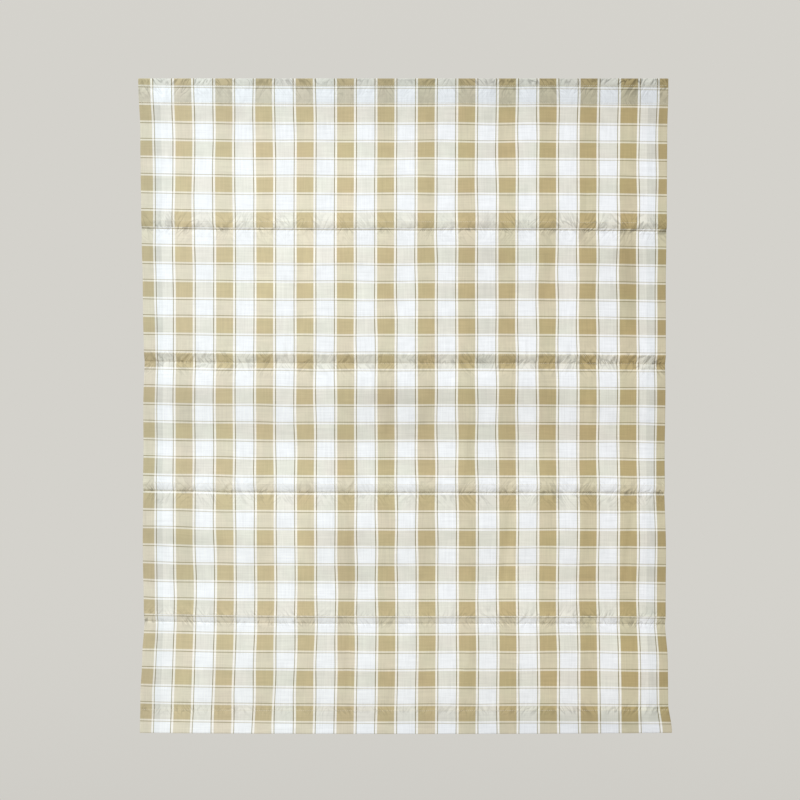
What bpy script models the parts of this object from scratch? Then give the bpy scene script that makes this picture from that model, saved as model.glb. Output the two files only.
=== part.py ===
# A flat roman blind let all the way down: one hemmed panel of checked cotton cloth, with four rod
# pockets sewn across its back. Metres, +Z up. The origin is the middle of the top edge, the face of
# the cloth looks along -Y, and +X is to the right as one faces it.

import math

import bmesh
import bpy

# The hung panel
panel_drop = 1.510
half_width = 0.610
cloth_thickness = 0.0012
layer_pitch = 0.0017            # from one layer of a folded hem to the next, middle to middle

# The hems, measured from the fold to the turned edge
side_hem = 0.050
bottom_hem = 0.055
heading = 0.058

# The side hems are turned first, so the bottom hem and the heading fold two layers over two
stack_fold = 3 * layer_pitch

# The rod pockets
band_height = 0.0185            # between a pocket's two rows of stitching
pocket_lap = 0.003              # of the strip beyond each row
pocket_bulge = 0.0042           # how far the strip stands off the cloth over its rod
pocket_end_inset = 0.025        # from the panel's side edge to the strip's end
seat_gap = 0.0003               # between a strip and the cloth it is sewn to
hem_clearance = 0.001           # a strip is up on the side hem this far before the hem's turned edge
hem_climb = 0.006               # and climbs onto it over this much

# How the panel hangs. Each section ends in the crease at the foot of a pocket's band, or in the hem.
# foot: how far down the section ends. away: how steeply the cloth comes forward below the upper seam.
# shoulder, hollow and brow: how far forward it stands a little below that seam, at its slackest and just
# above the lower seam. band: from the brow to the seam, and turn: how late in it the cloth curls back.
# rest: where it ends. lean: how much more its left end swells. middle: how much stronger its curve is
# half way across.
sections = [
    dict(foot=0.350, away=0.01, shoulder=0.0006, shoulder_at=0.050, hollow=-0.0056, hollow_at=0.125,
         brow=0.0065, band=band_height, turn=1.7, rest=0.0, lean=0.0025, middle=0.15),
    dict(foot=0.656, away=0.02, shoulder=0.0022, shoulder_at=0.050, hollow=0.0009, hollow_at=0.100,
         brow=0.0094, band=band_height, turn=1.1, rest=0.0, lean=0.0030, middle=0.0),
    dict(foot=0.953, away=0.12, shoulder=0.0058, shoulder_at=0.052, hollow=-0.0026, hollow_at=0.190,
         brow=0.0062, band=band_height, turn=1.8, rest=0.0, lean=0.0005, middle=0.50),
    dict(foot=1.255, away=0.12, shoulder=0.0066, shoulder_at=0.090, hollow=0.0028, hollow_at=0.205,
         brow=0.0080, band=band_height, turn=1.2, rest=0.0, lean=-0.0010, middle=0.45),
    dict(foot=panel_drop, away=0.06, shoulder=0.0056, shoulder_at=0.070, hollow=0.0050, hollow_at=0.120,
         brow=0.0034, band=0.030, turn=1.0, rest=-0.0016, lean=-0.0010, middle=0.10),
]

# Soft upright waves across the panel, fullest where the cloth bellies and none at the creases.
# span: from crest to crest. height: of a crest. start: where the first crest lies, as a part of span.
# drift: how far the crests move sideways from one section to the next.
waves = [
    dict(span=0.310, height=0.0016, start=0.15, drift=0.055),
    dict(span=0.187, height=0.0010, start=0.60, drift=-0.040),
    dict(span=0.121, height=0.0006, start=0.35, drift=0.027),
]

# How far each side edge lies from half_width, at levels down the panel: drawn in by the sewing at the
# pockets, and flaring at the heading and at the bottom corners.
edge_levels = [
    dict(drop=0.000, left=0.0040, right=-0.0016),
    dict(drop=0.120, left=-0.0005, right=-0.0028),
    dict(drop=0.350, left=-0.0040, right=-0.0062),
    dict(drop=0.510, left=-0.0074, right=-0.0074),
    dict(drop=0.656, left=-0.0108, right=-0.0092),
    dict(drop=0.790, left=-0.0074, right=-0.0090),
    dict(drop=0.953, left=-0.0079, right=-0.0108),
    dict(drop=1.110, left=-0.0072, right=-0.0080),
    dict(drop=1.255, left=-0.0104, right=-0.0092),
    dict(drop=1.340, left=-0.0062, right=-0.0040),
    dict(drop=1.430, left=-0.0012, right=-0.0028),
    dict(drop=1.510, left=0.0007, right=0.0071),
]
edge_reach = 0.080              # how far in from an edge its shift dies away
bottom_sag = 0.0026             # how much lower the middle of the bottom edge hangs than its corners
weave_skew = 0.0037             # how much lower the weave and its seams run at the right edge than midway

# Where the face's rows lie, besides the shoulder, the hollow and the brow
rows_below_crease = [0.006, 0.022]
rows_above_brow = 0.026
band_rows = 3

# How finely the other shapes are divided
middle_columns = 20
hem_columns = 2
fold_steps = 3
pocket_columns = 16
bulge_steps = 6

check_tan = (0.52, 0.43, 0.25, 1.0)
pocket_cream = (0.80, 0.79, 0.74, 1.0)
cotton_roughness = 0.9


def smooth(amount):
    amount = min(max(amount, 0.0), 1.0)
    return amount * amount * (3 - 2 * amount)


def clear_scene():
    for thing in list(bpy.data.objects):
        bpy.data.objects.remove(thing, do_unlink=True)


def section_at(drop):
    """The number of the section that a level lies in."""
    feet = [section["foot"] for section in sections[:-1]]
    return sum(drop > foot for foot in feet)


def curve_at(place, stations, start_slope):
    """A smooth curve through a few stations, each a place and a height."""
    places = [station[0] for station in stations]
    heights = [station[1] for station in stations]
    slopes = [start_slope]
    for before, after in zip(stations, stations[2:]):
        slopes.append((after[1] - before[1]) / (after[0] - before[0]))
    slopes.append((heights[-1] - heights[-2]) / (places[-1] - places[-2]))
    place = min(max(place, places[0]), places[-1])
    number = max(number for number in range(len(places) - 1) if place >= places[number])
    span = places[number + 1] - places[number]
    along = (place - places[number]) / span
    fall = 1 - along
    return (heights[number] * (1 + 2 * along) * fall ** 2 + heights[number + 1] * along ** 2 * (3 - 2 * along)
            + span * along * fall * (slopes[number] * fall - slopes[number + 1] * along))


def section_span(number):
    """Where a section starts, and where its brow is."""
    section = sections[number]
    head = sections[number - 1]["foot"] if number else 0.0
    end = section["foot"] - (bottom_hem if section is sections[-1] else 0.0)
    return head, end - section["band"]


def forward(x, drop):
    """How far the face of the cloth stands forward at a place on the panel."""
    number = section_at(drop)
    section = sections[number]
    head, brow = section_span(number)
    out = x / half_width
    into_band = min(max((drop - brow) / section["band"], 0.0), 1.0) ** section["turn"]
    if drop > brow:
        return section["brow"] * (1 - into_band) + section["rest"] * into_band
    straight = section["brow"] * (drop - head) / (brow - head)
    stations = [(0.0, 0.0), (section["shoulder_at"], section["shoulder"]),
                (section["hollow_at"], section["hollow"]), (brow - head, section["brow"])]
    curve = curve_at(drop - head, stations, section["away"]) - straight
    swell = math.sin(math.pi * (drop - head) / (brow - head))
    depth = straight + curve * (1 + section["middle"] * (1 - out ** 2)) - section["lean"] * out * swell
    for wave in waves:
        crest = (x - number * wave["drift"]) / wave["span"] - wave["start"]
        depth += wave["height"] * swell * math.cos(2 * math.pi * crest)
    return depth


def edge_shift(drop, side):
    """How far a side edge lies outside half_width at a level."""
    for above, below in zip(edge_levels, edge_levels[1:]):
        if drop <= below["drop"]:
            along = smooth((drop - above["drop"]) / (below["drop"] - above["drop"]))
            return above[side] + (below[side] - above[side]) * along
    return edge_levels[-1][side]


def skew_at(x, drop):
    """How far below level the weave runs. The top and bottom edges are cut level, across it."""
    first, last = sections[0]["foot"], sections[-2]["foot"]
    share = smooth(drop / first) * (1 - smooth((drop - last) / (panel_drop - last)))
    return weave_skew * (x / half_width) ** 3 * share


def hang(x, drop, back):
    """Where a point of the flat, hemmed panel lies once the panel hangs."""
    from_left = smooth(1 - (half_width + x) / edge_reach)
    from_right = smooth(1 - (half_width - x) / edge_reach)
    shift = edge_shift(drop, "right") * from_right - edge_shift(drop, "left") * from_left
    sag = bottom_sag * (1 - (x / half_width) ** 2) * smooth(drop / panel_drop)
    return (x + shift, back - forward(x, drop), -drop - sag - skew_at(x, drop))


def across_path():
    """The cloth from one side hem's turned edge to the other: its place across and its layer. The face
    has the same columns as the hems behind it, so that the two layers bend alike."""
    radius = layer_pitch / 2
    hem_edge = half_width - side_hem
    hem = [hem_edge + side_hem * column / hem_columns for column in range(hem_columns)]
    left = [(-x, layer_pitch) for x in hem]
    for step in range(fold_steps + 1):
        turn = math.pi * step / fold_steps
        left.append((radius - half_width - radius * math.sin(turn), radius + radius * math.cos(turn)))
    left += [(-x, 0.0) for x in reversed(hem)]
    right = [(-x, layer) for x, layer in reversed(left)]
    step = 2 * hem_edge / middle_columns
    return left + [(step * column - hem_edge, 0.0) for column in range(1, middle_columns)] + right


def face_drops():
    """The levels of the face's rows, from the heading's middle to the bottom hem's."""
    drops = []
    for number, section in enumerate(sections):
        head, brow = section_span(number)
        shoulder = head + section["shoulder_at"]
        hollow = head + section["hollow_at"]
        near_brow = brow - rows_above_brow
        drops += [head + below for below in rows_below_crease] if number else [heading / 2]
        drops += [shoulder, (shoulder * 2 + hollow) / 3, (shoulder + hollow * 2) / 3, hollow]
        drops += [(hollow * 2 + near_brow) / 3, (hollow + near_brow * 2) / 3, near_brow, brow]
        drops += [brow + section["band"] * step / band_rows for step in range(1, band_rows + 1)]
    return sorted(drops + [heading, panel_drop - bottom_hem / 2])


def down_path():
    """The cloth from the heading's turned edge, over the top fold, down the face and into the hem: for
    each row, its level and how far round a fold it has turned, 0 on the face and pi on the back."""
    turns = [math.pi * step / fold_steps for step in range(fold_steps + 1)]
    rows = [(heading, math.pi), (heading / 2, math.pi)]
    rows += [(0.0, turn) for turn in reversed(turns)]
    rows += [(drop, 0.0) for drop in face_drops()]
    rows += [(panel_drop, turn) for turn in turns]
    rows += [(panel_drop - bottom_hem / 2, math.pi), (panel_drop - bottom_hem, math.pi)]
    return rows


def fold_down(drop, turn, layer):
    """The level and depth of a point, from its row and from the layer that the side hem gives it."""
    reach = stack_fold / 2
    arm = reach - layer
    back = reach - arm * math.cos(turn)
    short = reach - arm * math.sin(turn)
    if drop == 0.0:
        return short, back
    if drop == panel_drop:
        return drop - short, back
    return drop, back


def finish(thing, colour):
    """Give an object its material and put it in the blind's collection."""
    material = bpy.data.materials.new(thing.name)
    material.use_nodes = True
    shader = material.node_tree.nodes["Principled BSDF"]
    shader.inputs["Base Color"].default_value = colour
    shader.inputs["Roughness"].default_value = cotton_roughness
    shader.inputs["Metallic"].default_value = 0.0
    material.diffuse_color = colour
    thing.data.materials.append(material)
    thing.data.shade_smooth()
    blind.objects.link(thing)


def make_panel():
    """The cloth, folded at its hems and hung: a grid whose columns and rows follow the two paths."""
    columns = across_path()
    rows = down_path()
    form = bmesh.new()
    bmesh.ops.create_grid(form, x_segments=len(columns) - 1, y_segments=len(rows) - 1)
    for place, point in enumerate(form.verts):
        row, column = divmod(place, len(columns))
        x, layer = columns[column]
        drop, turn = rows[row]
        point.co = hang(x, *fold_down(drop, turn, layer))
    mesh = bpy.data.meshes.new("cloth_panel")
    form.to_mesh(mesh)
    form.free()
    panel = bpy.data.objects.new("cloth_panel", mesh)
    body = panel.modifiers.new("cloth", "SOLIDIFY")
    body.thickness = cloth_thickness
    body.offset = 0.0
    body.use_even_offset = True
    finish(panel, check_tan)


def pocket_section():
    """A strip's outline, round from its top edge down its seat and back up over its rod: for each
    point, how far down the strip it lies and how far behind the cloth."""
    height = band_height + 2 * pocket_lap
    edge = cloth_thickness
    seat = [(0.0, 0.0), (pocket_lap, 0.0), (height - pocket_lap, 0.0), (height, 0.0)]
    bulge = []
    for step in range(bulge_steps + 1):
        down = height * (1 - step / bulge_steps)
        into = min(down, height - down)
        rise = smooth((into - pocket_lap / 2) / (band_height / 2))
        bulge.append((down, edge + (pocket_bulge - edge) * rise))
    return seat + bulge


def make_pocket(number, foot):
    """One rod pocket: its outline, drawn through the columns from one end of the strip to the other."""
    outline = pocket_section()
    reach = half_width - pocket_end_inset
    over_hem = half_width - side_hem - hem_clearance
    stops = [-reach + 2 * reach * column / pocket_columns for column in range(pocket_columns + 1)]
    stops += [side * (over_hem - climb) for side in (-1, 1) for climb in (0.0, hem_climb)]
    stops.sort()
    form = bmesh.new()
    loops = []
    for x in stops:
        onto_hem = smooth((abs(x) - over_hem) / hem_climb + 1)
        seat = cloth_thickness / 2 + seat_gap + layer_pitch * onto_hem
        loop = []
        for down, behind in outline:
            drop = foot - band_height - pocket_lap + down
            spot = hang(x, min(drop, foot), seat + behind)
            loop.append(form.verts.new((spot[0], spot[1], spot[2] - max(drop - foot, 0.0))))
        loops.append(loop)
    for near, far in zip(loops, loops[1:]):
        for place in range(len(outline)):
            after = (place + 1) % len(outline)
            form.faces.new((near[place], near[after], far[after], far[place]))
    form.faces.new(loops[0])
    form.faces.new(reversed(loops[-1]))
    bmesh.ops.recalc_face_normals(form, faces=form.faces)
    name = "rod_pocket_" + str(number)
    mesh = bpy.data.meshes.new(name)
    form.to_mesh(mesh)
    form.free()
    finish(bpy.data.objects.new(name, mesh), pocket_cream)


clear_scene()
blind = bpy.data.collections.new("roman_blind")
bpy.context.scene.collection.children.link(blind)
make_panel()
for number, section in enumerate(sections[:-1], start=1):
    make_pocket(number, section["foot"])
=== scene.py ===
import math

import bpy
import numpy as np
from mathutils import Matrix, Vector


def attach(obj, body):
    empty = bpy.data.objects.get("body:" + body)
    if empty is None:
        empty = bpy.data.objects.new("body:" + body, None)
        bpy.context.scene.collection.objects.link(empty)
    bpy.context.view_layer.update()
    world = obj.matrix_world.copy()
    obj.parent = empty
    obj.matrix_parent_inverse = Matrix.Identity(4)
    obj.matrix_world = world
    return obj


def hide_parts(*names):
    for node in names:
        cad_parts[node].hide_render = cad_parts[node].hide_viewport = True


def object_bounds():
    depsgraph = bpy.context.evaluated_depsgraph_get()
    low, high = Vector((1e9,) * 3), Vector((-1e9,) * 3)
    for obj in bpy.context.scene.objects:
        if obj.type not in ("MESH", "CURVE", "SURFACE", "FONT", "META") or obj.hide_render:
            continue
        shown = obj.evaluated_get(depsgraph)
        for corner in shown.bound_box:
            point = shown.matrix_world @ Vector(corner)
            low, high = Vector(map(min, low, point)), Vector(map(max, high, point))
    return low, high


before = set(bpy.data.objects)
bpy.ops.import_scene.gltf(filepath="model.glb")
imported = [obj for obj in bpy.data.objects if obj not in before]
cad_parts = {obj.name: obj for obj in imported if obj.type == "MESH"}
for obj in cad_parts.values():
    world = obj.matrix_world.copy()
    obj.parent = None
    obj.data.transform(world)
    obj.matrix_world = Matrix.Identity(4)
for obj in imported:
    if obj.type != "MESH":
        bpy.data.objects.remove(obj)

# A flat roman blind of yarn-dyed check cotton, let all the way down. Metres throughout, +X to the
# right as one faces it, the face towards -Y, and the top edge's middle at the origin.

solidLow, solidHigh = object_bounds()
mm = 0.001


# Small helpers

# Rows of numbers under named columns, in millimetres but for those marked /1, which are plain numbers.
def rowsOf(columns, rows):
    names = [name.partition("/") for name in columns.split()]
    return [{name: value if plain else value * mm for (name, plain, _), value in zip(names, row)}
            for row in rows]


def rise(amount):
    amount = np.clip(amount, 0.0, 1.0)
    return amount * amount * (3 - 2 * amount)


# A soft uneven line through random heights from -1 to 1, one every size metres.
def uneven(place, size, seed):
    heights = np.random.RandomState(seed).uniform(-1, 1, 4096)
    spot = np.asarray(place) / size + 2048
    low = np.floor(spot).astype(int)
    part = rise(spot - low)
    return heights[low] * (1 - part) + heights[low + 1] * part


def linearColour(hexColour):
    channels = [int(hexColour[i:i + 2], 16) / 255 for i in (1, 3, 5)]
    return [c / 12.92 if c <= 0.04045 else ((c + 0.055) / 1.055) ** 2.4 for c in channels] + [1.0]


# One node, its kind named without ShaderNode. Each setting goes to the socket of that name or number, or
# else to the node. A socket, or a node's first output, is linked, and a hex colour turned to linear.
def addNode(tree, kind, settings):
    node = tree.nodes.new("ShaderNode" + kind)
    for name, value in settings.items():
        if isinstance(value, (bpy.types.Node, bpy.types.NodeSocket)):
            tree.links.new(getattr(value, "outputs", [value])[0], node.inputs[name])
        elif isinstance(name, int) or name in node.inputs:
            node.inputs[name].default_value = linearColour(value) if isinstance(value, str) else value
        else:
            setattr(node, name, value)
    return node


def newMaterial(name):
    material = bpy.data.materials.new(name)
    material.use_nodes = True
    material.node_tree.nodes.clear()
    return material, material.node_tree


def makeMesh(name, points, faces, material):
    mesh = bpy.data.meshes.new(name)
    mesh.from_pydata(np.asarray(points).tolist(), [], np.asarray(faces).tolist())
    mesh.update()
    mesh.shade_smooth()
    piece = bpy.data.objects.new(name, mesh)
    bpy.context.scene.collection.objects.link(piece)
    piece.data.materials.append(material)
    return piece


# The quads of a grid of rows and columns, numbered row by row.
def gridFaces(rows, columns):
    first = (np.arange(rows - 1)[:, None] * columns + np.arange(columns - 1)[None, :]).ravel()
    return np.stack([first, first + columns, first + columns + 1, first + 1], axis=1)


# Where each point lies on the flat cloth, in metres, and the same filling a square, to bake on.
def addFlatMaps(piece, flats):
    corner = np.zeros(len(piece.data.loops), dtype=np.int32)
    piece.data.loops.foreach_get("vertex_index", corner)
    low, high = flats.min(axis=0), flats.max(axis=0)
    for name, places in (("flatCloth", flats), ("OFBake", (flats - low) / (high - low))):
        layer = piece.data.uv_layers.new(name=name)
        layer.data.foreach_set("uv", np.asarray(places, dtype=np.float32)[corner].ravel())
    piece.data.uv_layers["flatCloth"].active_render = True
    return high - low


# Camera and light

view = {
    "distance": 3.5,            # from the cloth
    "across": -10.4 * mm,       # the photograph is taken a little left of and below the blind's middle
    "up": -741.8 * mm,
    "fieldWidth": 1.84,         # what the frame takes in at the cloth
    "sensor": 36.0,
    "clothPlane": -8 * mm,      # where the face lies on the whole
}
lights = {
    "sky": "#d4d2cc",           # a pale room
    "overhead": 1.30,           # how bright it is there, and below, beside the walls
    "underfoot": 0.75,
    "overheadRise": (0.2, 0.85),        # between which slopes the brightness changes
    "underfootRise": (-0.6, -0.1),
    "keyPlace": (-3.6, -5.6, 4.6),    # far off, so that it lights the whole blind alike
    "keyColour": "#eff6ff",
    "keySize": 2.4,
    "keyPower": 361.0,
    "fillPlace": (2.2, 3.2, 0.6),
    "fillSize": 2.0,
    "fillPower": 25.0,
    "floorColour": "#d2cfc8",
    "floorRoughness": 0.85,
    "floorDrop": 0.85,          # how far the floor lies below the blind
    "floorReach": 2.3,
}


def makeCamera():
    camera = bpy.data.cameras.new("camera")
    camera.sensor_width = view["sensor"]
    camera.lens = view["sensor"] * view["distance"] / view["fieldWidth"]
    eye = bpy.data.objects.new("camera", camera)
    eye.location = (view["across"], view["clothPlane"] - view["distance"], view["up"])
    eye.rotation_euler = (math.radians(90), 0, 0)
    bpy.context.scene.collection.objects.link(eye)
    bpy.context.scene.camera = eye


def addSoftbox(name, place, size, power, target):
    lamp = bpy.data.lights.new(name, "AREA")
    lamp.shape = "SQUARE"
    lamp.size = size
    lamp.energy = power
    lamp.color = linearColour(lights["keyColour"])[:3]
    box = bpy.data.objects.new(name, lamp)
    box.location = place
    box.rotation_euler = (Vector(target) - Vector(place)).to_track_quat("-Z", "Y").to_euler()
    bpy.context.scene.collection.objects.link(box)


# Painted studio floor: matt emulsion, so it shows only soft shade.
def studioFloorPaint():
    material, tree = newMaterial("floor_emulsion")
    shader = addNode(tree, "BsdfPrincipled",
                     {"Roughness": lights["floorRoughness"], "Base Color": lights["floorColour"]})
    addNode(tree, "OutputMaterial", {"Surface": shader})
    return material


# The room's light comes more from above than from below, as under a large soft ceiling light.
def makeRoom():
    world = bpy.data.worlds.new("room")
    bpy.context.scene.world = world
    world.use_nodes = True
    tree = world.node_tree
    split = addNode(tree, "SeparateXYZ", {0: addNode(tree, "TexCoord", {})})
    shares = [addNode(tree, "MapRange",
                      {"interpolation_type": "SMOOTHSTEP", "From Min": low, "From Max": high,
                       "To Min": under, "To Max": over, "Value": split.outputs["Z"]})
              for (low, high), under, over in ((lights["overheadRise"], 1.0, lights["overhead"]),
                                               (lights["underfootRise"], lights["underfoot"], 1.0))]
    strength = addNode(tree, "Math", {"operation": "MULTIPLY", 0: shares[0], 1: shares[1]})
    sky = tree.nodes["Background"]
    sky.inputs["Color"].default_value = linearColour(lights["sky"])
    tree.links.new(strength.outputs[0], sky.inputs["Strength"])


def makeStage():
    makeRoom()
    middle = (solidLow + solidHigh) / 2
    addSoftbox("key_softbox", lights["keyPlace"], lights["keySize"], lights["keyPower"], middle)
    addSoftbox("back_softbox", lights["fillPlace"], lights["fillSize"], lights["fillPower"], middle)
    reach = lights["floorReach"]
    height = solidLow.z - lights["floorDrop"]
    corners = [(-reach, -reach, height), (reach, -reach, height), (reach, reach, height),
               (-reach, reach, height)]
    makeMesh("studio_floor", corners, [(0, 1, 2, 3)], studioFloorPaint())
    bpy.context.scene.view_settings.view_transform = "Standard"


makeCamera()
makeStage()
print("camera, lights and floor made")


# How the panel hangs, on the folds of the solid cloth_panel

panel = {
    "drop": 1.510,
    "halfWidth": 0.610,
    "layerPitch": 1.7 * mm,     # between the layers of a folded side hem
    "sideHem": 50 * mm,
    "bottomHem": 55 * mm,
    "heading": 58 * mm,
    "edgeReach": 80 * mm,       # how far in from each side edge its own waver is felt
    "bottomSag": 2.6 * mm,
    "skew": 3.7 * mm,           # how much lower the weave and its seams run at the right edge
    "wander": 1.4 * mm,         # how far the threads stray from straight
    "wanderSize": 90 * mm,
    "wanderLean": (1.3, 0.7),   # how slanting that is, for the long threads and for the cross ones
    "pull": 0.72,               # how hard the sewing draws the cloth up half way across
    "pullSides": 0.5,           # and how much harder at both sides
    "pullRight": 0.22,          # and at the right alone
    "gatherLeast": 0.3,         # the share of its height that the weakest gather keeps
    "gatherPatch": 60 * mm,     # over which gathers grow and shrink
    "gatherTurn": 45 * mm,      # over which their slant changes
    "gatherStray": 0.8,         # how much their slant and their spacing vary
    "lobeMean": 0.64,           # the mean height of a row of rounded lobes
    "valley": 0.6,              # how deep the hollow beside a large pucker is, as a share of its height
    "valleyAt": 1.6,            # and how many half widths away
    "nipReach": 1.7 * mm,
    "nipPatch": 9 * mm,         # over which the sharp fold at a seam deepens and fades
    "nipStray": 0.2,
    "columnStep": 2.3 * mm,
    "plainStep": 26 * mm,       # between rows where nothing is sewn
    "headingStep": 3.0 * mm,
    "hemStep": 4.0 * mm,
    "headingPast": 6 * mm,      # how far beyond the heading and the hem the close rows run
    "hemPast": 10 * mm,
    "hemColumns": 5,
    "foldSteps": 4,
    "backRows": 4,
}
foldRadius = 1.5 * panel["layerPitch"]      # of the folds along the top and the bottom edge

# One row for each stretch between seams. foot: its lower seam. takeUp: cloth lost in that seam, and
# takenAbove: how far above its crease. away: how steeply the cloth comes forward below the upper seam.
# shoulder, hollow and brow: how far forward it stands a little below the upper seam, at its slackest and
# just above the lower seam. band: from the brow to the seam, and turn: how late in it the cloth curls
# back. rest: where it ends. nip: the sharp fold at the seam. lean: how much more its left end swells.
# middle: how much stronger its curve is half way across.
sections = rowsOf("foot takeUp takenAbove away/1 shoulder shoulderAt hollow "
                  "hollowAt brow band turn/1 rest nip lean middle/1", [
    (350, 1.2, 4, 0.01, 0.6, 50, -5.6, 125, 6.5, 18.5, 1.7, 0, 0.7, 2.5, 0.15),
    (656, 1.6, 4, 0.02, 2.2, 50, 0.9, 100, 9.4, 18.5, 1.1, 0, 0.8, 3.0, 0.0),
    (953, 1.2, 4, 0.12, 5.8, 52, -2.6, 190, 6.2, 18.5, 1.8, 0, 2.2, 0.5, 0.50),
    (1255, 3.4, 19, 0.12, 6.6, 90, 2.8, 205, 8.0, 18.5, 1.2, 0, 1.6, -1.0, 0.45),
    (1510, 0, 0, 0.06, 5.6, 70, 5.0, 120, 3.4, 30, 1.0, -1.6, 0, -1.0, 0.10),
])

# Broad swells side by side in each stretch. start: how far along the first crest is, as a share of its
# span. drift: how far they move over at each seam.
waves = rowsOf("span height start/1 drift", [
    (310, 1.6, 0.15, 55),
    (187, 1.0, 0.60, -40),
    (121, 0.6, 0.35, 27),
])

# How far the side edges stand out beyond their straight lines, at levels down them.
edgeLevels = rowsOf("drop left right", [
    (0, 4.0, -1.6),
    (120, -0.5, -2.8),
    (350, -4.0, -6.2),
    (510, -7.4, -7.4),
    (656, -10.8, -9.2),
    (790, -7.4, -9.0),
    (953, -7.9, -10.8),
    (1110, -7.2, -8.0),
    (1255, -10.4, -9.2),
    (1340, -6.2, -4.0),
    (1430, -1.2, -2.8),
    (1510, 0.7, 7.1),
])

# Soft slanting folds, each a ridge, or a trough where its height is negative. top and bottom: where
# it starts and ends. x and toX: where its ends are. across: half its width.
folds = rowsOf("top bottom x toX across height", [
    (20, 1480, 158, 150, 34, 1.5),
    (30, 980, -212, -205, 26, 1.1),
    (5, 60, -551, -549, 5, 1.6),
    (60, 200, -290, -270, 12, -1.6),
    (215, 345, 424, 414, 9, -3.0),
    (385, 540, 350, 322, 10, -2.7),
    (380, 460, -318, -312, 10, -1.9),
    (370, 640, 500, 524, 13, 2.7),
    (660, 905, -18, -72, 9, 2.4),
    (680, 850, 50, 36, 10, 1.8),
    (780, 950, 143, 138, 9, 2.6),
    (700, 860, 436, 420, 9, 2.4),
    (840, 950, -530, -498, 7, 2.2),
    (940, 985, -505, -490, 4, -1.9),
    (940, 1200, 252, 222, 9, -3.2),
    (950, 1100, -140, -134, 9, 1.8),
    (960, 1110, 412, 408, 9, 2.0),
    (970, 1190, 527, 506, 8, -2.7),
    (1150, 1245, -436, -430, 9, 2.0),
    (1265, 1445, 160, 122, 9, 2.6),
    (1265, 1440, -130, -132, 8, -2.7),
    (1290, 1440, 262, 252, 8, 1.9),
    (1265, 1400, 408, 404, 9, 2.0),
])

# The fine gathers along each row of stitching: rounded lobes with sharp valleys between them. above and
# under: how far from the row they die away. size: from one to the next. slant: how far they lean sideways
# for each step down. sewn: how crumpled the cloth is between them.
gathers = rowsOf("drop height above under size slant/1 sewn/1", [
    (6, 1.5, 8, 9, 9.2, -0.8, 1.2),
    (25, 1.4, 6, 17, 10.3, -0.9, 0.8),
    (57, 0.5, 7, 5, 12.6, 0.4, 0.4),
    (335, 0.7, 14, 7, 11.5, 0.7, 0.75),
    (347.5, 1.5, 6, 9, 9.2, -0.8, 1.15),
    (361, 0.5, 7, 14, 12.6, 0.6, 0.45),
    (639, 0.8, 7, 7, 10.3, -0.7, 0.7),
    (653, 1.4, 8, 6, 9.2, 0.8, 1.0),
    (664, 0.8, 7, 14, 11.5, -0.6, 0.7),
    (936, 0.8, 9, 7, 11.5, 0.5, 0.6),
    (951, 1.2, 7, 8, 10.3, -0.6, 1.05),
    (962, 0.6, 7, 16, 12.6, 0.6, 0.6),
    (1238, 0.8, 8, 7, 10.3, -0.7, 0.85),
    (1253, 1.2, 7, 8, 9.2, 0.7, 1.1),
    (1456, 0.7, 8, 8, 11.5, 0.5, 0.7),
])

# The larger puckers that stand out one by one. x: where one crosses its row. across: half its width.
puckers = rowsOf("drop x height across reach slant/1", [
    (649, -574, 3.1, 5, 9, 0.9),
    (645, -508, 2.4, 4, 9, -0.9),
    (646, -492, 2.2, 3, 8, -0.8),
    (640, -465, 1.7, 3, 9, -0.6),
    (646, -330, 2.4, 4, 8, 0.9),
    (644, -317, 2.0, 3, 9, -0.8),
    (632, -276, 1.7, 4, 12, 0.1),
    (644, -137, 1.4, 4, 8, -0.5),
    (634, 278, 2.0, 4, 12, 0.1),
    (646, 372, 1.7, 3, 8, -0.6),
    (645, 412, 2.5, 4, 9, 0.9),
    (647, 428, 2.2, 3, 8, -0.8),
    (647, 477, 2.9, 4, 9, -0.8),
    (645, 505, 2.2, 4, 9, 0.8),
    (646, 560, 2.5, 4, 9, -0.7),
    (352, -512, 1.5, 4, 7, -0.4),
    (353, -496, 1.3, 3, 6, 0.4),
    (350, -424, 1.4, 4, 7, -0.7),
    (352, -238, 1.3, 3, 6, 0.3),
    (351, 52, 1.2, 3, 6, -0.3),
    (355, 231, 1.6, 3, 9, -0.1),
    (354, 246, 1.4, 3, 8, 0.2),
    (354, 318, 1.7, 3, 7, -0.2),
    (354, 334, 1.5, 3, 8, 0.3),
    (356, 412, 1.8, 4, 9, 0.2),
    (354, 430, 1.6, 3, 8, -0.3),
    (355, 506, 1.8, 3, 8, -0.4),
    (354, 522, 1.6, 3, 7, 0.1),
    (946, -516, 1.9, 4, 11, 0.6),
    (949, -492, 1.7, 3, 9, -0.6),
    (940, -412, 1.3, 4, 10, -0.8),
    (938, -128, 1.3, 4, 12, -0.7),
    (943, 230, 2.2, 4, 12, 0.8),
    (948, 250, 1.8, 3, 9, -0.8),
    (944, 500, 1.8, 4, 12, 0.7),
    (946, 521, 1.9, 3, 10, 0.8),
    (974, 543, 2.3, 3, 18, 0.5),
    (1243, -502, 1.4, 3, 9, -0.7),
    (1246, -310, 1.4, 3, 8, 0.7),
    (1243, -254, 1.6, 4, 9, -0.7),
    (1238, 272, 1.7, 4, 12, -0.8),
    (1244, 322, 1.5, 3, 10, -0.5),
    (1244, 405, 1.7, 3, 9, -0.6),
    (1242, 424, 1.7, 3, 11, 0.6),
    (1240, 456, 1.5, 4, 12, -0.5),
])

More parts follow.
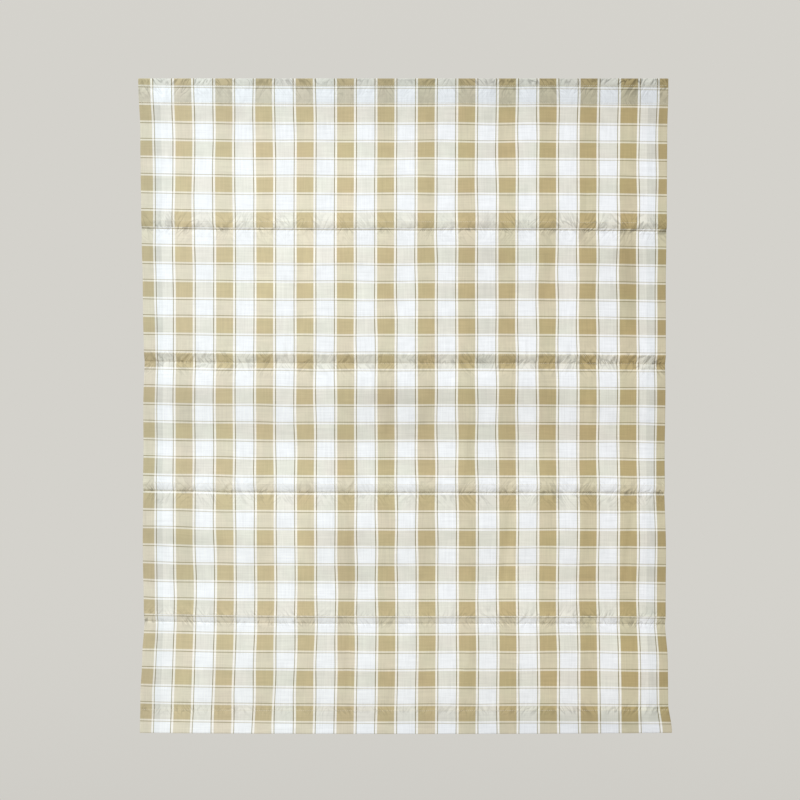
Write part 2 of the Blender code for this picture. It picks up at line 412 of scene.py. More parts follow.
# How the panel widens and shifts sideways at levels down it. out: at half a metre either side.
spread = rowsOf("drop out aside", [
    (0, 3.4, 0),
    (160, 1.8, -0.1),
    (350, 0.2, -0.4),
    (610, -1.3, -0.1),
    (780, 0, -0.3),
    (970, 0, 0.6),
    (1210, -1.8, 0.9),
    (1300, 0.8, 1.4),
    (1380, 2.4, 0.6),
    (1510, 6.6, -0.7),
])


# A column of a table at a level between its rows.
def between(rows, column, level):
    return np.interp(level, [row["drop"] for row in rows], [row[column] for row in rows])


# The length of cloth that the seams above a level take up.
def lostInSeams(drop):
    return sum(section["takeUp"] for section in sections
               if drop > section["foot"] - section["takenAbove"])


def sectionAt(drop):
    return sum(drop > section["foot"] for section in sections[:-1])


# A smooth curve through a few stations, each a place and a height.
def curveAt(place, stations, startSlope):
    places, heights = zip(*stations)
    slopes = [startSlope]
    slopes += [(heights[i + 1] - heights[i - 1]) / (places[i + 1] - places[i - 1])
               for i in range(1, len(places) - 1)]
    slopes.append((heights[-1] - heights[-2]) / (places[-1] - places[-2]))
    place = min(max(place, places[0]), places[-1])
    i = max(k for k in range(len(places) - 1) if place >= places[k])
    span = places[i + 1] - places[i]
    t = (place - places[i]) / span
    return (heights[i] * (1 + 2 * t) * (1 - t) ** 2 + slopes[i] * span * t * (1 - t) ** 2
            + heights[i + 1] * t * t * (3 - 2 * t) + slopes[i + 1] * span * t * t * (t - 1))


# How far the face stands forward along one row, apart from the fine gathers of the sewing.
def bellyAt(x, drop):
    number = sectionAt(drop)
    section = sections[number]
    hemmed = section is sections[-1]
    head = sections[number - 1]["foot"] if number else 0.0
    end = section["foot"] - (panel["bottomHem"] if hemmed else 0.0)
    brow = end - section["band"]
    stations = [(0.0, 0.0), (section["shoulderAt"], section["shoulder"]),
                (section["hollowAt"], section["hollow"]), (brow - head, section["brow"])]
    straight = section["brow"] * (drop - head) / (brow - head)
    curve = curveAt(drop - head, stations, section["away"]) - straight
    swell = math.sin(math.pi * min(max((drop - head) / (brow - head), 0.0), 1.0))
    out = x / panel["halfWidth"]
    depth = straight + curve * (1 + section["middle"] * (1 - out ** 2)) - section["lean"] * out * swell
    for wave in waves:
        crest = (x - number * wave["drift"]) / wave["span"] - wave["start"]
        depth = depth + wave["height"] * swell * np.cos(2 * math.pi * crest)
    intoBand = min(max((drop - brow) / section["band"], 0.0), 1.0) ** section["turn"]
    if drop > brow:
        depth = section["brow"] + 0 * x
    return depth * (1 - intoBand) + section["rest"] * intoBand


# How near a level is to a row of stitching, from 0 to 1.
def nearRow(row, drop):
    below = drop - row["drop"]
    return math.exp(-(below / (row["under"] if below > 0 else row["above"])) ** 2)


# How much harder the sewing pulls towards the sides, most of all at the right.
def pullAt(x):
    out = x / panel["halfWidth"]
    return panel["pull"] + panel["pullSides"] * np.abs(out) ** 1.5 + panel["pullRight"] * out


# What the hand-placed folds and the stitching add to that.
def creaseAt(x, drop):
    depth = np.zeros_like(x)
    for fold in folds:
        along = (drop - fold["top"]) / (fold["bottom"] - fold["top"])
        if 0 < along < 1:
            middle = fold["x"] + (fold["toX"] - fold["x"]) * along
            depth += (fold["height"] * math.sin(math.pi * along) ** 1.2
                      * np.exp(-((x - middle) / fold["across"]) ** 2))
    for seed, row in enumerate(gathers):
        near = nearRow(row, drop)
        if near < 0.01:         # too far off to show
            continue
        least = panel["gatherLeast"]
        strength = pullAt(x) * (least + (1 - least) * np.abs(uneven(x, panel["gatherPatch"], 300 + seed)))
        bend = row["slant"] * (1 + panel["gatherStray"] * uneven(x, panel["gatherTurn"], 500 + seed))
        place = (x - bend * (drop - row["drop"])) / row["size"]
        place += panel["gatherStray"] * uneven(x, 3 * row["size"], 100 + seed)
        depth += row["height"] * near * strength * (np.abs(np.sin(math.pi * place)) - panel["lobeMean"])
    for pucker in puckers:
        below = drop - pucker["drop"]
        if abs(below) > 3 * pucker["reach"]:
            continue
        near = math.exp(-(below / pucker["reach"]) ** 2)
        off = (x - pucker["x"] - pucker["slant"] * below) / pucker["across"]
        hollow = panel["valley"] * np.exp(-(off - panel["valleyAt"]) ** 2)
        depth += pucker["height"] * near * (np.exp(-off ** 2) - hollow)
    for section in sections[:-1]:
        below = (drop - section["foot"]) / panel["nipReach"]
        depth -= (section["nip"] * math.exp(-below ** 2)
                  * (1 - panel["nipStray"] + panel["nipStray"] * uneven(x, panel["nipPatch"], 700)))
    return depth


# How far the weave runs below level. The top and bottom edges are cut level, across the grain.
def skewAt(x):
    return panel["skew"] * (x / panel["halfWidth"]) ** 3


def skewShare(drop):
    head, foot = sections[0]["foot"], sections[-2]["foot"]
    return rise(drop / head) * (1 - rise((drop - foot) / (panel["drop"] - foot)))


def edgeShift(drop, side):
    levels = [level["drop"] for level in edgeLevels]
    above = max(i for i, level in enumerate(levels[:-1]) if drop >= level)
    along = rise((drop - levels[above]) / (levels[above + 1] - levels[above]))
    return edgeLevels[above][side] * (1 - along) + edgeLevels[above + 1][side] * along


# Where one row of the flat, hemmed panel lies once it hangs: an array of points.
def hang(x, drop, back):
    x = np.asarray(x, dtype=float)
    fromLeft = rise(1 - (panel["halfWidth"] + x) / panel["edgeReach"])
    fromRight = rise(1 - (panel["halfWidth"] - x) / panel["edgeReach"])
    drops = np.broadcast_to(np.asarray(drop, dtype=float), x.shape)
    backs = np.broadcast_to(np.asarray(back, dtype=float), x.shape)
    points = np.zeros((len(x), 3))
    for level in np.unique(drops):
        here = drops == level
        inside = min(max(float(level), 0.0), panel["drop"])
        inner = between(spread, "out", inside) * x[here] / 0.5
        inner += between(spread, "aside", inside)
        shift = inner * (1 - fromLeft[here]) * (1 - fromRight[here])
        shift += edgeShift(inside, "right") * fromRight[here] - edgeShift(inside, "left") * fromLeft[here]
        sag = panel["bottomSag"] * (1 - (x[here] / panel["halfWidth"]) ** 2)
        points[here, 0] = x[here] + shift
        points[here, 1] = backs[here] - bellyAt(x[here], inside) - creaseAt(x[here], inside)
        points[here, 2] = (-level - sag * rise(inside / panel["drop"])
                           - skewAt(x[here]) * skewShare(inside))
    return points


# The cloth panel

# Where rows lie near a pocket's foot, above and below its crease, in millimetres.
seamRows = [-27, -24, -21.5, -19.5, -18.3, -17, -14.5, -12, -9.5, -7, -4.8, -3, -1.7, -0.8, 0.0,
            0.8, 1.7, 3, 5, 7.5, 11]


# Columns, from one turned-in edge to the other: place across, layer, and place across the flat cloth.
def acrossPath():
    radius = panel["layerPitch"] / 2
    hemEdge = panel["halfWidth"] - panel["sideHem"]
    left = []
    for column in range(panel["hemColumns"]):
        out = panel["sideHem"] * column / panel["hemColumns"]
        left.append((-hemEdge - out, panel["layerPitch"], -panel["halfWidth"] - panel["sideHem"] + out))
    for step in range(panel["foldSteps"] + 1):
        turn = math.pi * step / panel["foldSteps"]
        left.append((radius - panel["halfWidth"] - radius * math.sin(turn),
                     radius + radius * math.cos(turn),
                     radius - panel["halfWidth"] - radius * (math.pi - turn)))
    reach = panel["halfWidth"] - radius
    count = round(2 * panel["halfWidth"] / panel["columnStep"])
    face = [(place, 0.0, place) for place in np.linspace(-reach, reach, count + 1)[1:-1]]
    right = [(-x, layer, -flat) for x, layer, flat in reversed(left)]
    return np.array(left + face + right)


# The levels of the face's rows: close together where anything is sewn, and further apart between.
def faceDrops():
    headEnd = panel["heading"] + panel["headingPast"]
    hemTop = panel["drop"] - panel["bottomHem"] - panel["hemPast"]
    sewn = [np.linspace(0.0, headEnd, round(headEnd / panel["headingStep"]) + 1)]
    sewn += [section["foot"] + np.array(seamRows) * mm for section in sections[:-1]]
    sewn += [np.linspace(hemTop, panel["drop"], round((panel["drop"] - hemTop) / panel["hemStep"]) + 1)]
    drops = list(sewn[0])
    for rows in sewn[1:]:
        count = round((rows[0] - drops[-1]) / panel["plainStep"])
        drops += list(np.linspace(drops[-1], rows[0], count, endpoint=False))[1:] + list(rows)
    return drops[1:-1]


# Rows, from the heading's free edge to the bottom hem's: level, turn, and place down the flat cloth.
def downPath():
    turns = [math.pi * step / panel["foldSteps"] for step in range(panel["foldSteps"] + 1)]
    halfTurn = foldRadius * math.pi
    rows = []
    for row in range(panel["backRows"]):
        level = panel["heading"] * (1 - row / panel["backRows"])
        rows.append((level, math.pi, -halfTurn - level))
    rows += [(0.0, turn, -foldRadius * turn) for turn in reversed(turns)]
    rows += [(drop, 0.0, drop) for drop in faceDrops()]
    rows += [(panel["drop"], turn, panel["drop"] + foldRadius * turn) for turn in turns]
    for row in range(1, panel["backRows"] + 1):
        up = panel["bottomHem"] * row / panel["backRows"]
        rows.append((panel["drop"] - up, math.pi, panel["drop"] + halfTurn + up))
    return rows


# Where a layer of the cloth lies that far round a fold: its level, and how far behind the face.
def foldDown(drop, turn, layer):
    arm = foldRadius - layer
    back = foldRadius - arm * math.cos(turn)
    short = foldRadius - arm * math.sin(turn)
    if drop == 0.0:
        return short, back
    if drop == panel["drop"]:
        return drop - short, back
    return np.full_like(layer, drop), back


# Yarn-dyed plain-weave cotton: the colours are in the threads, so a stripe looks paler where white
# threads cross it than where its own do, and both faces are alike. Matt, with a faint thread texture.
check = {
    "plain": ("#f7fbff", "#f2f4f9"),        # white crossed by white, at the left side and, in painted shade, at the right
    "tanDown": ("#e1dbca", "#d4cbb2"),      # the long tan threads crossed by white
    "tanAcross": ("#e8e8e1", "#e3e1d9"),    # the cross threads tan, the long ones white
    "tanBoth": ("#cdc09d", "#bba97e"),
    "acrossLineColours": ("#bbb59f", "#9c9070"),    # what a thin line takes from the white and the tan
    "downLineColours": ("#d9d5c9", "#bdb7a2"),      # the level lines are of finer thread
    "cord": "#fffaf0",          # the close white threads between each stripe and its thin line
    "acrossCord": 0.5,          # how much of them shows beside the upright stripes, and the level ones
    "downCord": 0.25,
    "acrossRepeat": 93.0 * mm,
    "acrossStart": -43.0 * mm,
    "acrossTan": 19.5 * mm,     # half the width of a tan stripe
    "acrossLine": 25.2 * mm,    # from its middle to the thin line beside it
    "downRepeat": 81.6 * mm,
    "downStart": 82.9 * mm,
    "downTan": 17.6 * mm,
    "downLine": 22.6 * mm,
    "lineHalf": 1.0 * mm,       # half the width of a thin line
    "edgeSoft": 0.35 * mm,
    "slub": 0.22,               # how much one thread differs from the next
    "slubPitch": 3.0 * mm,      # drawn coarser than the real 0.4 mm threads, or they would not show
    "slubLength": 75 * mm,
    "lot": 0.13,                # how unevenly whole groups of threads have taken the dye
    "lotPitch": 36 * mm,
    "lotLength": 300 * mm,
    "mottle": 0.07,             # the slow unevenness of a washed cloth
    "mottleSize": 26 * mm,
    "warmTone": "#fffdfc",      # and the slow drift in hue of its dyed threads
    "coolTone": "#fcfefb",
    "toneSize": 110 * mm,
    "toneSpan": (0.35, 0.65),   # of the noise, from the one hue to the other
    "crumple": 2.6 * mm,        # the fine creases beside the stitching
    "crumpleSize": 11.4 * mm,
    "crumpleLean": 0.6,
    "crumpleTwist": 0.7,        # how far they wander off their slant
    "crumpleLong": 0.36,        # they are longer than they are wide
    "crumpleFade": 0.7,         # they die away more slowly than the gathers do
    "crumplePatch": 30 * mm,    # over which those that lean left and right give way to each other
    "crumpleShare": (0.5, 1.4, 1.3),    # how many lean each way: usually, how much that varies, at most
    "paintedCreaseShade": 0.205,       # how much painted shade darkens their valleys
    "creaseWidth": 0.22,        # and how wide, as a share of the noise they come from
    "paintedShadeOnWhite": 0.45,      # the painted shade is fainter on the white cloth, which light passes through
    "plainTint": "#ffffff",
    "sideHem": "#f8f9f9",       # painted shade where a second layer behind lets less light through
    "heading": "#f2f4f5",
    "bottomHem": "#fafbfd",
    "sideHemFade": (1.0, 1.0),  # painted light falling off from the left side to the right
    "headingFade": (1.05, 0.93),
    "bottomHemFade": (1.06, 0.94),
    "sideHemThrough": (0.08, 0.0),      # and the painted shade of its coloured bands showing through: the rows, and the stripes
    "headingThrough": (0.12, 0.13),
    "bottomHemThrough": (0.03, 0.0),
    "weaveStrength": 0.35,
    "weaveDepth": 0.25 * mm,
    "roughness": 0.92,
    "specular": 0.2,
}

# Painted light and shade: patches where the dyed threads are drawn lighter, or darker where its number is
# below nothing, for soft folds and along the seams. across and down: half its size.
paintedPatches = rowsOf("x drop across down paler/1", [
    (-220, 360, 220, 240, 0.12),
    (-510, 760, 45, 90, -0.10),
    (-510, 1060, 45, 150, -0.08),
    (0, 760, 110, 70, -0.11),
    (330, 750, 60, 70, -0.08),
    (-270, 1040, 90, 140, 0.09),
    (-130, 1090, 45, 110, -0.10),
    (260, 1130, 70, 100, 0.10),
    (510, 450, 45, 140, -0.10),
    (190, 620, 20, 480, -0.10),
    (430, 644, 190, 10, -0.06),
    (430, 353, 190, 8, -0.08),
    (20, 353, 160, 7, -0.04),
    (100, 955, 200, 6, -0.08),
    (450, 956, 200, 7, -0.08),
])


# The painted light and shade that the listed patches give at a place.
def paintedPatchAt(x, drop):
    return sum(paintedShading["paler"] * np.exp(-((x - paintedShading["x"]) / paintedShading["across"]) ** 2
                                      - ((drop - paintedShading["drop"]) / paintedShading["down"]) ** 2) for paintedShading in paintedPatches)


# Threads that run one way and the other: streaks much longer than they are wide, from 0 to 2.
def threadStreaks(tree, split, pitch, length):
    streaks = []
    for along, wide, layer in (("Y", "X", 3.0), ("X", "Y", 11.0)):
        x, y = [addNode(tree, "Math", {"operation": "DIVIDE", 0: split.outputs[axis], 1: size})
                for axis, size in ((wide, pitch), (along, length))]
        place = addNode(tree, "CombineXYZ", {"X": x, "Y": y, "Z": layer})
        streaks.append(addNode(tree, "TexNoise",
                               {"Scale": 1.0, "Detail": 2.0, "Roughness": 0.6, "Vector": place}))
    return addNode(tree, "Math", {"operation": "ADD", 0: streaks[0], 1: streaks[1]})


# The single threads, and how much paler each makes the cloth.
def spunThreads(tree, split):
    threads = threadStreaks(tree, split, check["slubPitch"], check["slubLength"])
    return threads, addNode(tree, "MapRange",
                            {"From Max": 2.0, "To Min": 1 - check["slub"], "To Max": 1 + check["slub"],
                             "Value": threads})


def checkCotton():
    material, tree = newMaterial("yarn_dyed_cotton")
    places = addNode(tree, "UVMap", {"uv_map": "flatCloth"})
    split = addNode(tree, "SeparateXYZ", {0: places})

    # The stripes, their thin lines and the cords between, each 1 where it is and 0 elsewhere.
    bands, lines, cords = {}, {}, {}
    for way, axis in (("across", "X"), ("down", "Y")):
        moved = addNode(tree, "Math",
                        {"operation": "SUBTRACT", 0: split.outputs[axis], 1: check[way + "Start"]})
        off = addNode(tree, "Math", {"operation": "PINGPONG", 0: moved, 1: check[way + "Repeat"] / 2})
        fromLine = addNode(tree, "Math", {"operation": "SUBTRACT", 0: off, 1: check[way + "Line"]})
        lineOff = addNode(tree, "Math", {"operation": "ABSOLUTE", 0: fromLine})
        for masks, place, half in ((bands, off, check[way + "Tan"]), (lines, lineOff, check["lineHalf"])):
            masks[way] = addNode(tree, "MapRange",
                                 {"From Min": half - check["edgeSoft"],
                                  "From Max": half + check["edgeSoft"], "To Min": 1.0, "To Max": 0.0,
                                  "Value": place})
        inner = addNode(tree, "Math", {"operation": "LESS_THAN", 0: off, 1: check[way + "Line"]})
        cord = addNode(tree, "Math",
                       {"operation": "SUBTRACT", "use_clamp": True, 0: inner, 1: bands[way]})
        cords[way] = addNode(tree, "Math", {"operation": "MULTIPLY", 0: cord, 1: check[way + "Cord"]})

    # Their colours, from the left side to the right, darker at the right: painted light falling off from
    # the left.
    mix = {"data_type": "RGBA"}
    rightward = addNode(tree, "MapRange",
                        {"From Min": -0.5, "From Max": 0.5, "Value": split.outputs["X"]})
    plain, tanDown, tanAcross, tanBoth = [
        addNode(tree, "Mix", {**mix, 0: rightward, 6: check[name][0], 7: check[name][1]}).outputs[2]
        for name in ("plain", "tanDown", "tanAcross", "tanBoth")]
    whiteRow = addNode(tree, "Mix", {**mix, 0: bands["across"], 6: plain, 7: tanDown}).outputs[2]
    tanRow = addNode(tree, "Mix", {**mix, 0: bands["across"], 6: tanAcross, 7: tanBoth}).outputs[2]
    cloth = addNode(tree, "Mix", {**mix, 0: bands["down"], 6: whiteRow, 7: tanRow}).outputs[2]
    for way, crossed in (("across", "down"), ("down", "across")):
        onWhite, onTan = check[way + "LineColours"]
        cloth = addNode(tree, "Mix", {**mix, 0: cords[way], 6: cloth, 7: check["cord"]}).outputs[2]
        line = addNode(tree, "Mix", {**mix, 0: bands[crossed], 6: onWhite, 7: onTan}).outputs[2]
        cloth = addNode(tree, "Mix",
                        {**mix, "blend_type": "MULTIPLY", 0: lines[way], 6: cloth, 7: line}).outputs[2]

    # The threads differ, and have taken the dye unevenly; the dyed ones also carry the patches' painted
    # light and shade.
    threads, spun = spunThreads(tree, split)
    lots = addNode(tree, "MapRange",
                   {"From Max": 2.0, "To Min": -check["lot"], "To Max": check["lot"],
                    "Value": threadStreaks(tree, split, check["lotPitch"], check["lotLength"])})
    paler = addNode(tree, "Attribute", {"attribute_name": "paler"})
    dyeAndPaintedLight = addNode(tree, "Math", {"operation": "ADD", 0: lots, 1: paler.outputs["Fac"]})
    dyed = addNode(tree, "Math", {"operation": "MAXIMUM", 0: bands["across"], 1: bands["down"]})
    dyeAndLightFactor = addNode(tree, "Math", {"operation": "MULTIPLY_ADD", 0: dyeAndPaintedLight, 1: dyed, 2: 1.0})
    evened = addNode(tree, "Math", {"operation": "MULTIPLY", 0: dyeAndLightFactor, 1: spun})
    coloured = addNode(tree, "VectorMath", {"operation": "SCALE", 0: cloth, "Scale": evened})

    # Painted shade on the hems and the heading, which are two layers and let less light through.
    outward = addNode(tree, "Math", {"operation": "ABSOLUTE", 0: split.outputs["X"]})
    hems = [("sideHem", "GREATER_THAN", panel["halfWidth"] - panel["sideHem"], outward),
            ("heading", "LESS_THAN", panel["heading"], split.outputs["Y"]),
            ("bottomHem", "GREATER_THAN", panel["drop"] - panel["bottomHem"] + lostInSeams(panel["drop"]),
             split.outputs["Y"])]
    paintedHemShade = check["plainTint"]
    covered = None
    for hem, test, border, place in hems:
        inside = addNode(tree, "Math", {"operation": test, 0: place, 1: border})
        # Painted light, falling off from the left side to the right.
        atLeft, atRight = check[hem + "Fade"]
        paintedShading = addNode(tree, "MapRange", {"To Min": atLeft, "To Max": atRight, "Value": rightward})
        hemShadeWithFalloff = addNode(tree, "VectorMath",
                        {"operation": "SCALE", 0: linearColour(check[hem])[:3], "Scale": paintedShading})
        paintedHemShade = addNode(tree, "Mix",
                       {**mix, "blend_type": "DARKEN", 0: inside, 6: paintedHemShade, 7: hemShadeWithFalloff}).outputs[2]
        rowsThrough, stripesThrough = check[hem + "Through"]
        rows = addNode(tree, "Math", {"operation": "MULTIPLY", 0: bands["down"], 1: rowsThrough})
        stripes = addNode(tree, "Math", {"operation": "MULTIPLY", 0: bands["across"], 1: stripesThrough})
        seen = addNode(tree, "Math", {"operation": "MAXIMUM", 0: rows, 1: stripes})
        over = addNode(tree, "Math", {"operation": "MULTIPLY", 0: inside, 1: seen})
        covered = over if covered is None else addNode(tree, "Math",
                                                       {"operation": "MAXIMUM", 0: covered, 1: over})
    kept = addNode(tree, "Math", {"operation": "SUBTRACT", 0: 1.0, 1: covered})
    doubledClothShade = addNode(tree, "VectorMath", {"operation": "SCALE", 0: paintedHemShade, "Scale": kept})
    shown = addNode(tree, "VectorMath", {"operation": "MULTIPLY", 0: coloured, 1: doubledClothShade})

    # Washing has mottled it, and the hue of the dyed threads drifts.
    cloud = addNode(tree, "TexNoise", {"Scale": 1 / check["mottleSize"], "Detail": 3.0, "Vector": places})
    worn = addNode(tree, "MapRange",
                   {"To Min": 1 - check["mottle"], "To Max": 1 + check["mottle"], "Value": cloud})
    drift = addNode(tree, "TexNoise", {"Scale": 1 / check["toneSize"], "Detail": 2.0, "Vector": places})
    swung = addNode(tree, "MapRange",
                    {"From Min": check["toneSpan"][0], "From Max": check["toneSpan"][1], "Value": drift})
    tone = addNode(tree, "Mix", {**mix, 0: swung, 6: check["coolTone"], 7: check["warmTone"]}).outputs[2]
    ownTone = addNode(tree, "Mix", {**mix, 0: dyed, 6: check["plainTint"], 7: tone}).outputs[2]
    toned = addNode(tree, "VectorMath", {"operation": "MULTIPLY", 0: shown, 1: ownTone})

    # The weave, and the fine creases leaning left and right beside the stitching, their valleys in
    # painted shade.
    creased = addNode(tree, "Bump", {"Strength": check["weaveStrength"], "Distance": check["weaveDepth"],
                                     "Height": threads})
    shade = worn
    dimmed = addNode(tree, "MapRange", {"To Min": check["paintedShadeOnWhite"], "To Max": 1.0, "Value": dyed})
    for lean, name in ((-check["crumpleLean"], "sewnLeft"), (check["crumpleLean"], "sewnRight")):
        sewn = addNode(tree, "Attribute", {"attribute_name": name}).outputs["Fac"]
        creaseShadeAmount = addNode(tree, "Math", {"operation": "MULTIPLY", 0: dimmed, 1: sewn})
        aside = addNode(tree, "Math", {"operation": "MULTIPLY_ADD", 0: split.outputs["Y"], 1: lean,
                                       2: split.outputs["X"]})
        slow = addNode(tree, "Math",
                       {"operation": "MULTIPLY", 0: split.outputs["Y"], 1: check["crumpleLong"]})
        spot = addNode(tree, "CombineXYZ", {"Z": lean, "X": aside, "Y": slow})
        noise = addNode(tree, "TexNoise", {"Scale": 1 / check["crumpleSize"], "Detail": 0.5,
                                           "Distortion": check["crumpleTwist"], "Vector": spot})
        level = addNode(tree, "Math", {"operation": "SUBTRACT", 0: noise, 1: 0.5})
        fromValley = addNode(tree, "Math", {"operation": "ABSOLUTE", 0: level})
        height = addNode(tree, "Math", {"operation": "MULTIPLY", 0: fromValley, 1: sewn})
        creased = addNode(tree, "Bump", {"Strength": 1.0, "Distance": check["crumple"], "Height": height,
                                         "Normal": creased})
        # Painted shade in the creases' valleys, and a faint painted highlight on their ridges.
        valley = addNode(tree, "MapRange",
                         {"interpolation_type": "SMOOTHSTEP", "From Max": check["creaseWidth"] / 2,
                          "To Min": -check["paintedCreaseShade"], "To Max": check["paintedCreaseShade"] / 2,
                          "Value": fromValley})
        shade = addNode(tree, "Math", {"operation": "MULTIPLY_ADD", 0: valley, 1: creaseShadeAmount, 2: shade})
    mottledAndCreaseShaded = addNode(tree, "VectorMath", {"operation": "SCALE", 0: toned, "Scale": shade})
    shader = addNode(tree, "BsdfPrincipled",
                     {"Roughness": check["roughness"], "Specular IOR Level": check["specular"],
                      "Base Color": mottledAndCreaseShaded, "Normal": creased})
    addNode(tree, "OutputMaterial", {"Surface": shader})
    return material


# How crumpled the cloth is along one row, by creases that lean to one side (-1 or 1): their bumps and the
# painted shade in their valleys. These come and go, and give way to the others.
def sewnAt(x, drop, side):
    shares = [row["sewn"] * nearRow(row, drop) ** check["crumpleFade"] for row in gathers]
    nearest = shares.index(max(shares))
    usual, swing, most = check["crumpleShare"]
    swung = usual + swing * side * uneven(x, check["crumplePatch"], 900 + nearest)
    return shares[nearest] * pullAt(x) * np.clip(swung, 0, most)


def makePanel():
    across = acrossPath()
    x = across[:, 0]
    rows = downPath()
    longLean, crossLean = panel["wanderLean"]
    points = []
    flats = []
    marks = {"sewnLeft": [], "sewnRight": [], "paler": []}
    for drop, turn, down in rows:
        level, back = foldDown(drop, turn, across[:, 1])
        points.append(hang(x, level, back))
        skew = skewAt(x) * (1 - skewShare(drop))
        aside = panel["wander"] * uneven(drop + longLean * x, panel["wanderSize"], 41)
        lower = panel["wander"] / 2 * uneven(x + crossLean * drop, panel["wanderSize"], 43)
        flats.append(np.stack([across[:, 2] + aside, down + lostInSeams(drop) - skew + lower], axis=1))
        marks["sewnLeft"].append(sewnAt(x, drop, -1))
        marks["sewnRight"].append(sewnAt(x, drop, 1))
        marks["paler"].append(paintedPatchAt(x, drop))
    piece = makeMesh("check_panel", np.concatenate(points), gridFaces(len(rows), len(across)),
                     checkCotton())
    for name, values in marks.items():
        mark = piece.data.attributes.new(name, "FLOAT", "POINT")
        mark.data.foreach_set("value", np.concatenate(values))
    size = addFlatMaps(piece, np.concatenate(flats))
    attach(piece, "root")
    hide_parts("cloth_panel")
    print("panel:", len(rows), "rows,", len(across), "columns,", 2 * len(piece.data.polygons),
          "triangles")
    return piece, size


clothPanel, flatSize = makePanel()


# The rod pockets: strips of plain cotton sewn across the back, their edges turned under

pocket = {
    "band": 18.5 * mm,          # between the two rows of stitching
    "lap": 3.0 * mm,            # of the strip beyond each row
    "turned": 8.0 * mm,         # of each edge turned under
    "bulge": 3.6 * mm,          # how far the strip stands off over the rod
    "inset": 25 * mm,           # from the panel's side edge to the strip's end
    "seat": 0.95 * mm,          # behind the panel, clear of its gathers
    "ply": 0.7 * mm,            # from one layer of the strip to the other
    "shut": 16 * mm,            # the end lies flat over this much
    "overHem": 51 * mm,         # where the strip climbs onto the side hem
    "climb": 6 * mm,
    "edgeRound": 0.8 * mm,      # how far in from a turned edge the strip lies flat
    "roundness": 0.7,           # how full the bulge over the rod is: less is fuller
    "columnStep": 4 * mm,
    "bulgeRows": 12,
    "cotton": "#e9e7de",
}


# Plain white cotton tape, unbleached enough to look a little cream: matt, its threads hardly showing.
def tapeCotton():
    material, tree = newMaterial("plain_woven_cotton")
    places = addNode(tree, "UVMap", {"uv_map": "flatCloth"})
    split = addNode(tree, "SeparateXYZ", {0: places})
    threads, shade = spunThreads(tree, split)
    cloth = addNode(tree, "VectorMath",
                    {"operation": "SCALE", 0: linearColour(pocket["cotton"])[:3], "Scale": shade})
    weave = addNode(tree, "Bump", {"Strength": check["weaveStrength"], "Distance": check["weaveDepth"],
                                   "Height": threads})
    shader = addNode(tree, "BsdfPrincipled",
                     {"Roughness": check["roughness"], "Specular IOR Level": check["specular"],
                      "Base Color": cloth, "Normal": weave})
    addNode(tree, "OutputMaterial", {"Surface": shader})
    return material


# Across the strip, from one turned edge round to the other: how far down it, and how far off its seat.
def stripPath():
    height = pocket["band"] + 2 * pocket["lap"]
    ply, edge = pocket["ply"], pocket["edgeRound"]
    path = [(pocket["turned"], 0.0), (pocket["turned"] / 2, 0.0), (edge, 0.0), (0.0, ply / 2),
            (edge, ply), (pocket["lap"] * 0.6, ply)]
    for row in range(pocket["bulgeRows"] + 1):
        along = row / pocket["bulgeRows"]
        swell = math.sin(math.pi * along) ** pocket["roundness"]
        path.append((pocket["lap"] + pocket["band"] * along, ply * 0.4 + pocket["bulge"] * swell))
    path += [(height - down, off) for down, off in reversed(path[:6])]
    return path


# How far behind the panel's face the strip is seated: over the side hems there is one layer more.
def seatAt(x):
    onHem = rise((np.abs(x) - panel["halfWidth"] + pocket["overHem"]) / pocket["climb"] + 1)
    return pocket["seat"] + panel["layerPitch"] * onHem


def makeStrip(number, foot, material):
    reach = panel["halfWidth"] - pocket["inset"]
    across = np.linspace(-reach, reach, round(2 * reach / pocket["columnStep"]) + 1)
    shut = rise((reach - np.abs(across)) / pocket["shut"])
    head = foot - pocket["band"] - pocket["lap"]
    points = []
    flats = []
    walked = 0.0
    last = None
    for down, off in stripPath():
        lying = min(off, pocket["ply"])
        drop = head + down
        spots = hang(across, min(drop, foot), seatAt(across) + lying + (off - lying) * shut)
        spots[:, 2] -= max(drop - foot, 0.0)
        points.append(spots)
        walked += math.dist((down, off), last) if last else 0.0
        last = (down, off)
        flats.append(np.stack([across, np.full(len(across), walked)], axis=1))
    piece = makeMesh("pocket_strip_" + str(number), np.concatenate(points),
                     gridFaces(len(stripPath()), len(across)), material)
    size = addFlatMaps(piece, np.concatenate(flats))
    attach(piece, "root")
    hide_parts("rod_pocket_" + str(number))
    return piece, size


# The stitching: short lengths of thread, each a slim spindle half sunk in the cloth

stitch = {
    "pitch": 4.2 * mm,
    "length": 3.3 * mm,
    "radius": 0.36 * mm,        # drawn thicker than the real 0.2 mm thread, so that it shows
    "lift": 0.15 * mm,          # how far its middle stands off the cloth
    "sides": 5,
    "taper": 0.3,               # how far from each end it is full, as a share of its length
    "headingRows": [17 * mm, 57 * mm],
    "hemRow": 1.456,
    "fromEdge": 4 * mm,         # where a row ends, from the panel's side edge and from a strip's end
    "fromEnd": 2 * mm,
    "threadColour": "#efe9d8",
    "threadTwist": mm / 0.9,    # drawn coarser than the real 0.5 mm, so that it shows
    "threadShades": (0.88, 1.08),
    "threadRoughness": 0.55,
}


# Spun polyester sewing thread: smoother than the cotton, so it catches a little light.
def sewingThread():
    material, tree = newMaterial("spun_polyester_thread")
    twist = addNode(tree, "TexNoise", {"Scale": 1 / stitch["threadTwist"], "Detail": 1.0,
                                       "Vector": addNode(tree, "TexCoord", {}).outputs["Object"]})
    darkest, lightest = stitch["threadShades"]
    shade = addNode(tree, "MapRange", {"To Min": darkest, "To Max": lightest, "Value": twist})
    dyed = addNode(tree, "VectorMath",
                   {"operation": "SCALE", 0: linearColour(stitch["threadColour"])[:3], "Scale": shade})
    shader = addNode(tree, "BsdfPrincipled", {"Roughness": stitch["threadRoughness"], "Base Color": dyed})
    addNode(tree, "OutputMaterial", {"Surface": shader})
    return material


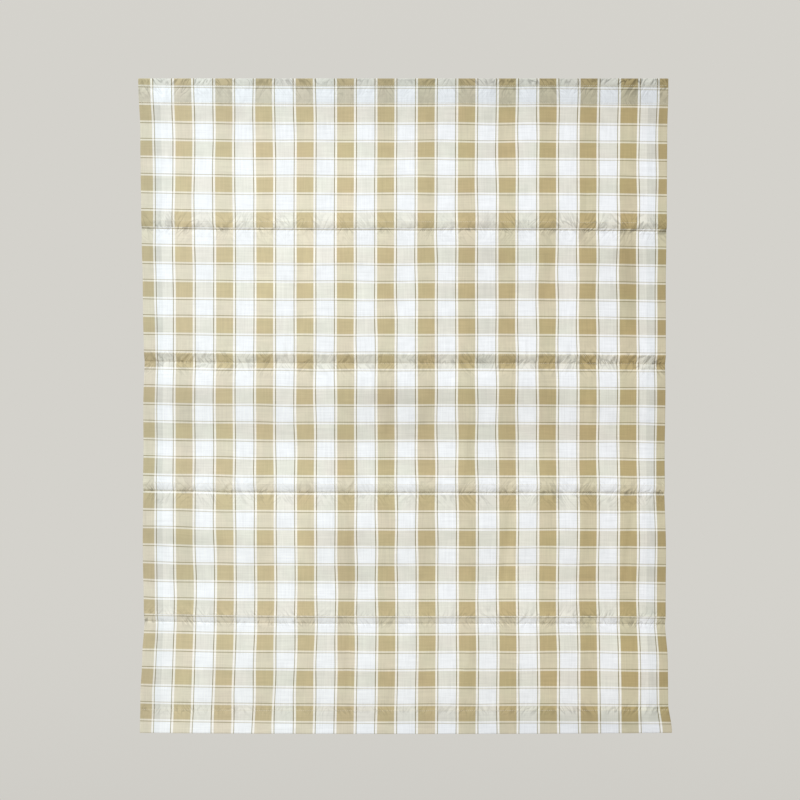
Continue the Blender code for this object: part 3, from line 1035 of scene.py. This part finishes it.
# One spindle between two places: its points and its faces.
def spindle(start, end, first):
    axis = end - start
    side = np.cross(axis, (0.0, 1.0, 0.0))
    side /= np.linalg.norm(side)
    up = np.cross(side, axis / np.linalg.norm(axis))
    points = [start, end]
    for along in (stitch["taper"], 1 - stitch["taper"]):
        for corner in range(stitch["sides"]):
            turn = 2 * math.pi * corner / stitch["sides"]
            points.append(start + axis * along
                          + stitch["radius"] * (math.cos(turn) * side + math.sin(turn) * up))
    faces = []
    for corner in range(stitch["sides"]):
        near = first + 2 + corner
        after = first + 2 + (corner + 1) % stitch["sides"]
        far, farAfter = near + stitch["sides"], after + stitch["sides"]
        faces += [(first, after, near), (near, after, farAfter), (near, farAfter, far),
                  (first + 1, far, farAfter)]
    return points, faces


# Rows of stitches at these levels, this far out. Each lies once on the face and once behind it.
def makeStitches(name, drops, reach, behind, material):
    count = round(2 * reach / stitch["pitch"])
    middles = reach * (2 * (np.arange(count) + 0.5) / count - 1)
    points = []
    faces = []
    for drop, back in [(drop, back) for drop in drops for back in (onFace, behind)]:
        starts = hang(middles - stitch["length"] / 2, drop, back(middles))
        ends = hang(middles + stitch["length"] / 2, drop, back(middles))
        for number in range(count):
            madePoints, madeFaces = spindle(starts[number], ends[number], len(points))
            points += madePoints
            faces += madeFaces
    piece = makeMesh(name, points, faces, material)
    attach(piece, "root")
    return piece


def onFace(x):
    return np.full(len(x), -stitch["lift"])


def onHeadingBack(x):
    return np.full(len(x), 2 * foldRadius + stitch["lift"])


def onStrip(x):
    return seatAt(x) + pocket["ply"] + stitch["lift"]


tape = tapeCotton()
thread = sewingThread()
hemStitches = makeStitches("hem_stitches", stitch["headingRows"] + [stitch["hemRow"]],
                           panel["halfWidth"] - stitch["fromEdge"], onHeadingBack, thread)
for number, section in enumerate(sections[:-1], start=1):
    strip, stripSize = makeStrip(number, section["foot"], tape)
    seamStitches = makeStitches("seam_stitches_" + str(number),
                                [section["foot"] - pocket["band"], section["foot"]],
                                panel["halfWidth"] - pocket["inset"] - stitch["fromEnd"], onStrip, thread)
print("pockets and stitching made")
